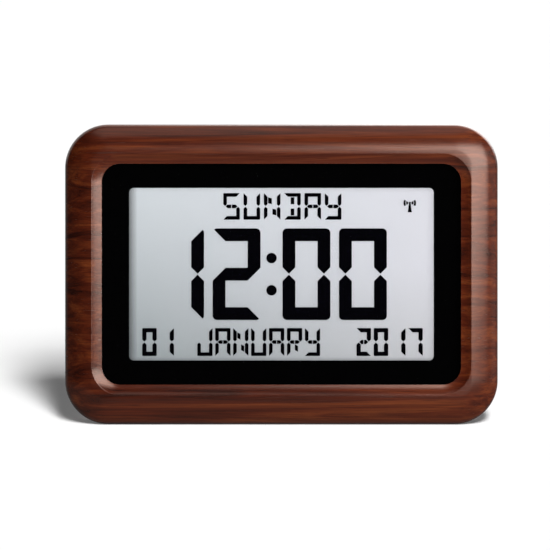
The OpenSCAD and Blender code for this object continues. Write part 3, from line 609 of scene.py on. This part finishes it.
def circuit_board(name, tone):
    """Green solder resist over faint copper tracks."""
    made, tree, shader = new_material(name)
    upright = step(tree, "ShaderNodeVectorRotate", {
        "Vector": places(tree, (160, 160, 160)), "Angle": pi / 2}, rotation_type="X_AXIS")
    tracks = step(tree, "ShaderNodeTexBrick", {
        "Vector": upright.outputs["Vector"], "Scale": 1, "Mortar Size": 0.05, "Color1": rgba(tone),
        "Color2": rgba(shade(tone, 1.12)), "Mortar": rgba(shade(tone, 1.6))})
    paint(tree, shader, tracks.outputs["Color"], 0.35)
    bump(tree, shader, tracks.outputs["Fac"], strength=0.1, distance=0.03 * MM)
    return made


def cell_skin():
    """Battery skin: dark body with a bright band by the tip, read along the cell."""
    look = settings("back")
    made, tree, shader = new_material("cell_skin")
    along = step(tree, "ShaderNodeAttribute", attribute_name="along")
    bare = (0.62, 0.60, 0.56)
    stops = ((0, bare), (0.045, look.cell_band), (0.32, look.cell), (0.965, bare))
    bands = ramp(tree, along.outputs["Fac"], stops, "CONSTANT")
    clouds = noise(tree, (120, 120, 120))
    clouded = blend(tree, spread(tree, clouds, 0, 0.12), bands, BLACK)
    paint(tree, shader, clouded, spread(tree, clouds, 0.22, 0.34))
    shader.inputs["Metallic"].default_value = 0.55
    return made


# Geometry node trees

def tree_with(name, lengths):
    """An empty tree with named inputs, and its input and output nodes."""
    tree = bpy.data.node_groups.new(name, "GeometryNodeTree")
    tree.interface.new_socket("Geometry", in_out="INPUT", socket_type="NodeSocketGeometry")
    for label in lengths:
        tree.interface.new_socket(label, in_out="INPUT", socket_type="NodeSocketFloat")
    tree.interface.new_socket("Finish", in_out="INPUT", socket_type="NodeSocketMaterial")
    tree.interface.new_socket("Geometry", in_out="OUTPUT", socket_type="NodeSocketGeometry")
    return tree, tree.nodes.new("NodeGroupInput"), tree.nodes.new("NodeGroupOutput")


def on_spots(tree, given, result, shape):
    """Sets a shape on each point, along its facing, as one mesh with the finish."""
    facing = step(tree, "GeometryNodeInputNamedAttribute", {"Name": "facing"}, data_type="FLOAT_VECTOR")
    turn = step(tree, "FunctionNodeAlignRotationToVector", {"Vector": facing.outputs["Attribute"]}, axis="Z")
    placed = step(tree, "GeometryNodeInstanceOnPoints", {
        "Points": given.outputs["Geometry"], "Instance": shape, "Rotation": turn.outputs["Rotation"]})
    real = step(tree, "GeometryNodeRealizeInstances", {"Geometry": placed.outputs["Instances"]})
    finish = step(tree, "GeometryNodeSetMaterial", {
        "Geometry": real.outputs["Geometry"], "Material": given.outputs["Finish"]})
    tree.links.new(finish.outputs["Geometry"], result.inputs["Geometry"])


def screw_tree():
    """A screw with a cross recess, its head standing up from the point and its shank below it."""
    if "screw" in bpy.data.node_groups:
        return bpy.data.node_groups["screw"]
    tree, given, result = tree_with("screw", (
        "Head top", "Head foot", "Head height", "Shank radius", "Shank length", "Recess depth"))
    out = given.outputs
    head = step(tree, "GeometryNodeMeshCone", {
        "Vertices": 40, "Radius Top": out["Head top"], "Radius Bottom": out["Head foot"],
        "Depth": out["Head height"]})
    shank = step(tree, "GeometryNodeMeshCylinder", {
        "Vertices": 24, "Radius": out["Shank radius"], "Depth": out["Shank length"]})
    half_down = triple(tree, 0, 0, times(tree, out["Shank length"], -0.5))
    lowered = step(tree, "GeometryNodeTransform", {
        "Geometry": shank.outputs["Mesh"], "Translation": half_down})
    arm_l = times(tree, out["Head top"], 1.25)
    arm_w = times(tree, out["Head top"], 0.32)
    arm_h = times(tree, out["Recess depth"], 2)
    recess = step(tree, "GeometryNodeMeshBoolean", operation="UNION")
    for across, up in ((arm_l, arm_w), (arm_w, arm_l)):
        arm = step(tree, "GeometryNodeMeshCube", {"Size": triple(tree, across, up, arm_h)})
        raised = step(tree, "GeometryNodeTransform", {
            "Geometry": arm.outputs["Mesh"], "Translation": triple(tree, 0, 0, out["Head height"])})
        tree.links.new(raised.outputs["Geometry"], recess.inputs["Mesh 2"])
    cut = step(tree, "GeometryNodeMeshBoolean", {
        "Mesh 1": head.outputs["Mesh"], "Mesh 2": recess.outputs["Mesh"]}, operation="DIFFERENCE")
    whole = step(tree, "GeometryNodeJoinGeometry")
    for part in (cut.outputs["Mesh"], lowered.outputs["Geometry"]):
        tree.links.new(part, whole.inputs["Geometry"])
    on_spots(tree, given, result, whole.outputs["Geometry"])
    return tree


def coil_tree():
    """A wire wound from one radius to another along its facing."""
    if "coil" in bpy.data.node_groups:
        return bpy.data.node_groups["coil"]
    tree, given, result = tree_with("coil", ("Turns", "Start radius", "End radius", "Height", "Wire radius"))
    out = given.outputs
    path = step(tree, "GeometryNodeCurveSpiral", {
        "Resolution": 28, "Rotations": out["Turns"], "Start Radius": out["Start radius"],
        "End Radius": out["End radius"], "Height": out["Height"]})
    wire = step(tree, "GeometryNodeCurvePrimitiveCircle", {"Resolution": 8, "Radius": out["Wire radius"]})
    round_wire = step(tree, "GeometryNodeCurveToMesh", {
        "Curve": path.outputs["Curve"], "Profile Curve": wire.outputs["Curve"], "Fill Caps": True})
    on_spots(tree, given, result, round_wire.outputs["Mesh"])
    return tree


def scatter(name, spots, tree, material, nodes, sizes):
    """Runs a tree over points on the face, each with a direction, and keeps its mesh as a piece."""
    points = bpy.data.meshes.new(name + "_points")
    points.from_pydata([WORLD @ spot for spot, _ in spots], [], [])
    facing = points.attributes.new("facing", "FLOAT_VECTOR", "POINT")
    turned_back = WORLD.to_3x3()
    facing.data.foreach_set("vector", [part for _, way in spots for part in turned_back @ way])
    carrier = bpy.data.objects.new(name + "_points", points)
    bpy.context.scene.collection.objects.link(carrier)
    modifier = carrier.modifiers.new(tree.name, "NODES")
    modifier.node_group = tree
    for socket in tree.interface.items_tree:
        if socket.in_out == "INPUT" and socket.name in sizes:
            modifier[socket.identifier] = float(sizes[socket.name])
        if socket.name == "Finish":
            modifier[socket.identifier] = material
    graph = bpy.context.evaluated_depsgraph_get()
    mesh = bpy.data.meshes.new_from_object(carrier.evaluated_get(graph))
    mesh.name = name
    carrier.modifiers.remove(modifier)
    bpy.data.objects.remove(carrier)
    mesh.shade_smooth()
    mesh.set_sharp_from_angle(angle=SHARP)
    finished(name, mesh, nodes)


# Pieces

class CLOCK_OT_wooden_frame(bpy.types.Operator):
    """Wooden frame: rounded face, ridge, hollow round the window, and the pocket behind"""

    bl_idname = "clock.wooden_frame"
    bl_label = "Wooden frame"

    def execute(self, context):
        sizes = settings("frame")
        low, high = on_face("front_frame")
        half_w, half_h, deep = high.x, high.y, -low.z
        open_w = half_w - sizes.side_border
        open_h = half_h - sizes.end_border

        def inset(amount, depth):
            return ring(half_w - amount, half_h - amount, sizes.corner - amount, depth, sizes.steps)

        def about_window(amount, depth):
            return ring(open_w + amount, open_h + amount, sizes.window_corner + amount, depth, sizes.steps)

        face_w = min(sizes.side_border, sizes.end_border) - sizes.hollow
        start, end = sizes.face_start, sizes.face_end
        face_arc = (face_w - sizes.edge * (1 - sin(end))) / (sin(end) - sin(start))
        face_depth = face_arc * (cos(start) - cos(end)) + sizes.edge * cos(end)
        hollow_arc = sizes.hollow / (sin(sizes.hollow_end) - sin(sizes.hollow_start))

        rings = [inset(sizes.back_edge, deep), inset(0, deep - sizes.back_edge), inset(0, face_depth)]
        for slope in arc(pi / 2, end, EDGE_STEPS)[1:]:
            rings.append(inset(sizes.edge * (1 - sin(slope)), face_depth - sizes.edge * cos(slope)))

        reach = sizes.ridge * tan((start + sizes.hollow_end) / 2)
        last = asin(sin(start) + reach / face_arc)
        for slope in arc(end, last, FACE_STEPS)[1:]:
            inward = face_w + face_arc * (sin(start) - sin(slope))
            rings.append(inset(inward, face_arc * (cos(start) - cos(slope))))

        ridge_out = reach - sizes.ridge * sin(last)
        ridge_deep = face_arc * (cos(start) - cos(last)) + sizes.ridge * cos(last)
        for slope in arc(-last, sizes.hollow_end, RIDGE_STEPS)[1:]:
            outward = sizes.hollow + ridge_out - sizes.ridge * sin(slope)
            rings.append(about_window(outward, ridge_deep - sizes.ridge * cos(slope)))

        first = asin(sin(sizes.hollow_end) - reach * cos(sizes.hollow_end) / hollow_arc)
        for slope in arc(first, sizes.hollow_start, HOLLOW_STEPS)[1:]:
            outward = hollow_arc * (sin(slope) - sin(sizes.hollow_start))
            rings.append(about_window(outward, hollow_arc * (cos(slope) - cos(sizes.hollow_end))))

        pane_high = on_face("display_window")[1]
        tray_high = on_face("display_tray")[1]
        cover_high = on_face("rear_cover")[1]
        lip = -on_face("window_tape")[1].z
        rebate = pane_high.x - open_w + FIT
        pocket = -tray_high.z
        pocket_ring = (tray_high.x + TRAY_ROOM, tray_high.y + TRAY_ROOM, sizes.corner - POCKET_CORNER)
        rim_ring = (cover_high.x + FIT, cover_high.y + FIT, sizes.corner - RIM_CORNER)
        rings += [
            about_window(0, lip), about_window(rebate, lip), about_window(rebate, pocket),
            ring(*pocket_ring, pocket, sizes.steps), ring(*pocket_ring, deep - sizes.rim, sizes.steps),
            ring(*rim_ring, deep - sizes.rim, sizes.steps), ring(*rim_ring, deep, sizes.steps),
        ]
        shape = loft(rings, closed=True)
        planed(shape)
        piece("wood_frame", shape, lacquered_wood(), ["front_frame"])
        return {"FINISHED"}


class CLOCK_OT_window(bpy.types.Operator):
    """Clear window with polished edges, its black print and its tape"""

    bl_idname = "clock.window"
    bl_label = "Window"

    def execute(self, context):
        sizes = settings("frame")
        low, high = on_face("display_window")
        corner = sizes.window_corner + high.x - (on_face("front_frame")[1].x - sizes.side_border)
        polish = 0.25 * MM
        front, rear = -high.z, -low.z - SHEET_GAP
        rings = [
            ring(high.x - cut, high.y - cut, corner - cut, depth, sizes.steps)
            for cut, depth in ((polish, front), (0, front + polish), (0, rear - polish), (polish, rear))
        ]
        clear = clear_sheet("clear_window", WINDOW_INDEX)
        piece("window_pane", loft(rings), clear, ["display_window"])
        dress(printed_black("black_print", settings("display").print_black, 0.3), "window_mask")
        dress(moulded_plastic("foam", (0.03, 0.03, 0.032), 0.85), "display_gasket")
        dress(moulded_plastic("tape", (0.10, 0.10, 0.10), 0.6), "window_tape")
        shadowless("window_mask", "display_gasket")
        return {"FINISHED"}


class CLOCK_OT_display(bpy.types.Operator):
    """Liquid-crystal display: bonded front glass, dark bars, rear glass and pale ground"""

    bl_idname = "clock.display"
    bl_label = "Display"

    def execute(self, context):
        film = on_face("front_polariser")[1]
        front_low, front = on_face("front_glass")
        rear_low, rear = on_face("rear_glass")
        eased = 0.3 * MM

        def flat(corner, depth):
            return ring(corner.x, corner.y, eased, depth, steps=3)

        clear = clear_sheet("display_glass", GLASS_INDEX)
        rings = [
            flat(film, -film.z), flat(film, -front.z),
            flat(front, -front.z), flat(front, -front_low.z - SHEET_GAP),
        ]
        piece("front_cell", loft(rings), clear, ["front_polariser", "front_glass"])
        rings = [flat(rear, SHEET_GAP - rear.z), flat(rear, -rear_low.z - SHEET_GAP)]
        piece("rear_cell", loft(rings), clear, ["rear_glass"])
        dress(display_ground(), "reflector_film")
        bars = ("time_bars", "calendar_bars", "signal_icon")
        dress(printed_black("display_ink", settings("display").ink, 0.45), *bars)
        shadowless(*bars)
        dress(moulded_plastic("cell_resin", (0.30, 0.27, 0.20), 0.4), "cell_seal")
        return {"FINISHED"}


class CLOCK_OT_rear_cover(bpy.types.Operator):
    """Moulded rear cover, with its edges eased"""

    bl_idname = "clock.rear_cover"
    bl_label = "Rear cover"

    def execute(self, context):
        plastic = moulded_plastic("cover_plastic", settings("back").cover, 0.5)
        moulded("moulded_cover", "rear_cover", plastic)
        return {"FINISHED"}


class CLOCK_OT_battery_bay(bpy.types.Operator):
    """Battery door with its thumb grooves, two cells, contact springs, plates and leads"""

    bl_idname = "clock.battery_bay"
    bl_label = "Battery bay"

    def execute(self, context):
        plastic = bpy.data.materials["cover_plastic"]
        moulded("sliding_door", "battery_door", plastic, "door", ease=0.2 * MM)
        skin = cell_skin()
        for side, tip in (("left", 1), ("right", -1)):
            self.cell(side, tip, skin)
        metal = plated_metal("nickel_plate", (0.72, 0.70, 0.66), 0.3)
        dress(metal, "battery_contacts")
        self.springs(metal)
        dress(moulded_plastic("red_lead", (0.30, 0.012, 0.010), 0.4), "battery_lead_red")
        dress(moulded_plastic("black_lead", (0.012, 0.012, 0.012), 0.4), "battery_lead_black")
        return {"FINISHED"}

    def cell(self, side, tip, skin):
        """A cell with a rounded tip and shoulders and a dented foot, its tip up or down the face."""
        node = "battery_cell_" + side
        low, high = on_face(node)
        radius = (high.x - low.x) / 2
        whole = high.y - low.y
        tip_r = 2.75 * MM
        tip_l = 1.3 * MM
        tip_flat = tip_r - 0.4 * MM
        tip_edge = 0.3 * MM
        ease = 0.9 * MM
        dent = 0.3 * MM
        profile = [
            (0, tip_flat), (tip_edge, tip_r), (tip_l, tip_r), (tip_l, radius - 2 * ease),
            (tip_l + 0.1 * ease, radius - ease), (tip_l + 0.4 * ease, radius - 0.3 * ease),
            (tip_l + ease, radius), (whole - 0.6 * ease, radius),
            (whole - 0.15 * ease, radius - 0.3 * ease), (whole, radius - ease),
            (whole, radius - 2.5 * ease), (whole - dent, radius - 2.8 * ease),
        ]
        start = Vector(((low.x + high.x) / 2, high.y if tip > 0 else low.y, (low.z + high.z) / 2))
        along = Vector((0, -tip, 0))
        shape = turned(profile, start, along)
        distances = [(vert.co - start).dot(along) / whole for vert in shape.verts]
        made = piece("cell_" + side, shape, skin, [node])
        attribute = made.data.attributes.new("along", "FLOAT", "POINT")
        attribute.data.foreach_set("value", distances)

    def springs(self, metal):
        """A coiled spring at the foot of each cell."""
        low, high = on_face("battery_springs")
        tall = 5 * MM
        plate = 0.5 * MM
        spots = []
        for side, end in (("left", -1), ("right", 1)):
            cell_low, cell_high = on_face("battery_cell_" + side)
            across = (cell_low.x + cell_high.x) / 2
            out = (cell_low.z + cell_high.z) / 2
            spots.append((Vector((across, low.y if end < 0 else high.y, out)), Vector((0, -end, 0))))
        scatter("contact_springs", spots, coil_tree(), metal, ["battery_springs"], {
            "Turns": 4.5, "Start radius": 4.2 * MM, "End radius": 2.3 * MM, "Height": tall - 2 * plate,
            "Wire radius": 0.35 * MM,
        })


class CLOCK_OT_easel_leg(bpy.types.Operator):
    """Fold-out leg with its pads and hinge pin"""

    bl_idname = "clock.easel_leg"
    bl_label = "Easel leg"

    def execute(self, context):
        plastic = bpy.data.materials["cover_plastic"]
        moulded("folding_leg", "easel_leg", plastic, "leg", ease=0.4 * MM)
        rubber = moulded_plastic("pad_rubber", settings("back").rubber, 0.8)
        moulded("foot_pads", "leg_pads", rubber, "leg", ease=0.2 * MM)
        dress(plated_metal("steel_pin", (0.60, 0.60, 0.61), 0.28), "leg_hinge_pin")
        return {"FINISHED"}


class CLOCK_OT_buttons(bpy.types.Operator):
    """Setting buttons with eased caps, and the reset button"""

    bl_idname = "clock.buttons"
    bl_label = "Buttons"

    def execute(self, context):
        plastic = moulded_plastic("button_plastic", settings("back").button, 0.42)
        for name in ("mode", "wave", "set", "up", "down", "reset"):
            node = name + "_button"
            moulded(name + "_cap", node, plastic, node)
        return {"FINISHED"}


class CLOCK_OT_screws(bpy.types.Operator):
    """Screws of the cover, the display tray and the board"""

    bl_idname = "clock.screws"
    bl_label = "Screws"

    def execute(self, context):
        steel = plated_metal("screw_steel", (0.56, 0.56, 0.57), 0.32)
        for node, name, sizes in SCREWS:
            self.screws(node, name, steel, [size * MM for size in sizes])
        return {"FINISHED"}

    def screws(self, node, name, steel, sizes):
        top, under, tall, shank = sizes
        low, high = on_face(node)
        spots = [
            (Vector((across, up, low.z + tall)), Vector((0, 0, -1)))
            for across, up in centres(node, 2 * max(top, under))
        ]
        scatter(name, spots, screw_tree(), steel, [node], {
            "Head top": top, "Head foot": under, "Head height": tall, "Shank radius": shank,
            "Shank length": high.z - low.z - tall, "Recess depth": 0.55 * tall,
        })


class CLOCK_OT_circuit(bpy.types.Operator):
    """Tray, boards and what they carry, behind the display"""

    bl_idname = "clock.circuit"
    bl_label = "Circuit"

    def execute(self, context):
        dress(moulded_plastic("tray_plastic", (0.70, 0.70, 0.68), 0.5), "display_tray", "antenna_holder")
        rubber = moulded_plastic("strip_rubber", (0.45, 0.12, 0.18), 0.6)
        dress(rubber, "zebra_strip_top", "zebra_strip_bottom")
        dress(circuit_board("main_resist", (0.006, 0.050, 0.018)), "main_board")
        dress(circuit_board("receiver_resist", (0.006, 0.036, 0.016)), "receiver_board")
        dress(moulded_plastic("chip_resin", (0.010, 0.010, 0.011), 0.35), "clock_chip", "receiver_chip")
        dress(moulded_plastic("switch_plastic", (0.022, 0.022, 0.024), 0.45), "button_switches")
        dress(plated_metal("crystal_can", (0.62, 0.62, 0.63), 0.25), "quartz_crystal")
        dress(plated_metal("gold_pin", (0.80, 0.58, 0.20), 0.28), "receiver_pins")
        return {"FINISHED"}


class CLOCK_OT_antenna(bpy.types.Operator):
    """Ferrite rod with its wound coil and wires"""

    bl_idname = "clock.antenna"
    bl_label = "Antenna"

    def execute(self, context):
        dress(moulded_plastic("ferrite", (0.035, 0.034, 0.034), 0.55), "ferrite_rod")
        copper = plated_metal("copper_wire", (0.72, 0.30, 0.14), 0.3)
        dress(copper, "antenna_leads")
        low, high = on_face("antenna_coil")
        wire = 0.38 * MM
        pitch = 2.05 * wire
        radius = (high.y - low.y) / 2 - wire
        wound = high.x - low.x - 2 * wire
        start = Vector((low.x + wire, (low.y + high.y) / 2, (low.z + high.z) / 2))
        scatter("wound_coil", [(start, ACROSS)], coil_tree(), copper, ["antenna_coil"], {
            "Turns": round(wound / pitch), "Start radius": radius, "End radius": radius, "Height": wound,
            "Wire radius": wire,
        })
        return {"FINISHED"}


# Stage

class CLOCK_OT_stage(bpy.types.Operator):
    """Pale floor, soft lamps and a camera square to the face"""

    bl_idname = "clock.stage"
    bl_label = "Stage"

    def execute(self, context):
        look = settings("stage")
        scene = context.scene
        scene.view_settings.view_transform = "Standard"
        self.camera(scene, look)
        floor = self.floor(look)
        self.room(scene, look)
        lamps = [self.lamp(name, getattr(look, name), *place) for name, *place in LAMPS]
        self.lit("all_but_floor", floor, lamps, "EXCLUDE")
        suns = [self.sun(look, across, up) for across, up in FLOOR_LAMPS]
        self.lit("floor_only", floor, suns, "INCLUDE")
        return {"FINISHED"}

    def camera(self, scene, look):
        eye = WORLD @ Vector((-look.across, -look.below, look.distance))
        data = bpy.data.cameras.new("camera")
        data.sensor_width = 36
        data.lens = data.sensor_width * look.distance / look.field
        data.clip_end = 200
        made = bpy.data.objects.new("camera", data)
        made.matrix_world = Matrix.Translation(eye) @ WORLD.to_3x3().to_4x4()
        scene.collection.objects.link(made)
        scene.camera = made

    def floor(self, look):
        half = 40
        corners = [(-half, -half, 0), (half, -half, 0), (half, half, 0), (-half, half, 0)]
        mesh = bpy.data.meshes.new("floor")
        mesh.from_pydata(corners, [], [(0, 1, 2, 3)])
        made = bpy.data.objects.new("floor", mesh)
        bpy.context.scene.collection.objects.link(made)
        mesh.materials.append(self.pale_floor(look))
        return made

    def pale_floor(self, look):
        """Nearly white where it is seen, and darker for the light that it throws on the clock."""
        made, tree, shader = new_material("pale_floor")
        white = [look.floor] * 3
        grain = noise(tree, (40, 40, 40))
        pale = blend(tree, grain, shade(white, 0.99), white)
        paint(tree, shader, blend(tree, seen(tree), [look.bounce] * 3, pale), 0.9)
        shader.inputs["Specular IOR Level"].default_value = 0.1
        glow = step(tree, "ShaderNodeEmission", {"Strength": times(tree, seen(tree), look.lift)})
        shown(tree, step(tree, "ShaderNodeAddShader", {
            0: shader.outputs["BSDF"], 1: glow.outputs["Emission"]}))
        return made

    def room(self, scene, look):
        """A dim room that looks white behind the clock."""
        world = bpy.data.worlds.new("room")
        world.use_nodes = True
        scene.world = world
        tree = world.node_tree
        path = step(tree, "ShaderNodeLightPath").outputs
        coords = step(tree, "ShaderNodeTexCoord")
        axes = step(tree, "ShaderNodeSeparateXYZ", {"Vector": coords.outputs["Generated"]})
        behind = spread(tree, axes.outputs["Y"], 0, 1, from_low=0.2, from_high=0.5)
        bounced = larger(tree, path["Is Glossy Ray"], path["Is Transmission Ray"])
        white = larger(tree, path["Is Camera Ray"], times(tree, bounced, behind))
        back = tree.nodes["Background"]
        back.inputs["Color"].default_value = rgba(WHITE)
        feed(tree, back.inputs["Strength"], spread(tree, white, look.room, 1, 0, 1))

    def lamp(self, name, radiance, across, up, distance, size):
        """A soft rectangular lamp, by its angles from the face's own direction."""
        across, rise = radians(across), radians(up)
        way = WORLD.to_3x3() @ Vector((sin(across) * cos(rise), sin(rise), cos(across) * cos(rise)))
        data = bpy.data.lights.new(name + "_lamp", "AREA")
        data.shape = "RECTANGLE"
        data.size, data.size_y = size
        data.energy = radiance * pi * size[0] * size[1]
        return self.hung(data, way, WORLD.translation + way * distance)

    def sun(self, look, across, up):
        """One of the soft lamps at the front, a little to the right, that give the floor its shadow."""
        across, rise = radians(across), radians(up)
        way = Vector((sin(across) * cos(rise), -cos(across) * cos(rise), sin(rise)))
        data = bpy.data.lights.new("floor_lamp", "SUN")
        data.energy = look.sun
        data.angle = look.sun_width
        return self.hung(data, way, Vector())

    def hung(self, data, way, spot):
        """Hangs a lamp at a spot, shining back along a direction."""
        made = bpy.data.objects.new(data.name, data)
        made.location = spot
        made.rotation_euler = way.to_track_quat("Z", "Y").to_euler()
        bpy.context.scene.collection.objects.link(made)
        return made

    def lit(self, name, floor, lamps, state):
        """Keeps lamps off the floor, or on it alone."""
        group = bpy.data.collections.new(name)
        group.objects.link(floor)
        group.collection_objects[0].light_linking.link_state = state
        for lamp in lamps:
            lamp.light_linking.receiver_collection = group


# Sidebar and registering

class CLOCK_PT_panel(bpy.types.Panel):
    """Lists the steps that dress the clock"""

    bl_idname = "CLOCK_PT_panel"
    bl_label = "Clock"
    bl_space_type = "VIEW_3D"
    bl_region_type = "UI"
    bl_category = "Clock"

    def draw(self, context):
        for made in OPERATORS:
            self.layout.operator(made.bl_idname)


GROUPS = {"frame": FrameSizes, "wood": WoodLook, "display": DisplayLook, "back": BackLook, "stage": StageLook}
OPERATORS = (
    CLOCK_OT_wooden_frame, CLOCK_OT_window, CLOCK_OT_display, CLOCK_OT_rear_cover, CLOCK_OT_battery_bay,
    CLOCK_OT_easel_leg, CLOCK_OT_buttons, CLOCK_OT_screws, CLOCK_OT_circuit, CLOCK_OT_antenna, CLOCK_OT_stage,
)
CLASSES = (*GROUPS.values(), *OPERATORS, CLOCK_PT_panel)


def register():
    for made in CLASSES:
        bpy.utils.register_class(made)
    for name, group in GROUPS.items():
        setattr(bpy.types.Scene, "clock_" + name, PointerProperty(type=group))


def unregister():
    for name in GROUPS:
        delattr(bpy.types.Scene, "clock_" + name)
    for made in reversed(CLASSES):
        bpy.utils.unregister_class(made)


def main():
    register()
    for made in OPERATORS:
        group, name = made.bl_idname.split(".")
        getattr(getattr(bpy.ops, group), name)()


if __name__ == "__main__":
    main()
